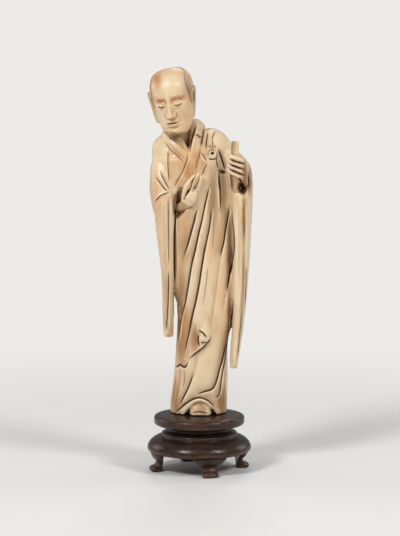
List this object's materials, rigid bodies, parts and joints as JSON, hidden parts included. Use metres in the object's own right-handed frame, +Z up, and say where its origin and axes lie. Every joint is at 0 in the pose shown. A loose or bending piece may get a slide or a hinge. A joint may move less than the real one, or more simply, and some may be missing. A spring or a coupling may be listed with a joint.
{
  "type": "ivory figure carving",
  "caption": "Standing robed figure with long trailing sleeves, one hand raised and the other holding a loose rod, on a round tiered hardwood stand with bracket feet.",
  "frame": {"origin": "on the table, on the vertical axis of the round stand", "axes": "+Z up, the figure faces -Y, its right hand is towards -X"},
  "size_m": [0.0695, 0.069, 0.2676],
  "materials": {
    "ivory": "aged ivory, hand polished to a satin shine, with tan patina and darkened cut lines",
    "dark_hardwood": "dark stained and waxed hardwood, half gloss"
  },
  "bodies": {
    "stand": {"stand_base": "dark_hardwood", "stand_waist": "dark_hardwood", "stand_top": "dark_hardwood", "foot_front": "dark_hardwood", "foot_right": "dark_hardwood", "foot_back": "dark_hardwood", "foot_left": "dark_hardwood"},
    "peg": {"locating_peg": "dark_hardwood"},
    "figure": {"figure_robe": "ivory", "head": "ivory", "right_hand": "ivory", "left_hand": "ivory"},
    "scroll": {"scroll_rod": "ivory"}
  },
  "joints": [
    {"name": "figure_turn", "type": "hinge", "parent": "stand", "child": "peg", "pos_m": [0, 0.006, 0.0373], "axis": [0, 0, 1], "continuous": true},
    {"name": "figure_lift", "type": "slide", "parent": "peg", "child": "figure", "axis": [0, 0, 1], "range_m": [0, 0.03]},
    {"name": "scroll_pull", "type": "slide", "parent": "figure", "child": "scroll", "axis": [0, 0, 1], "range_m": [0, 0.035]}
  ]
}
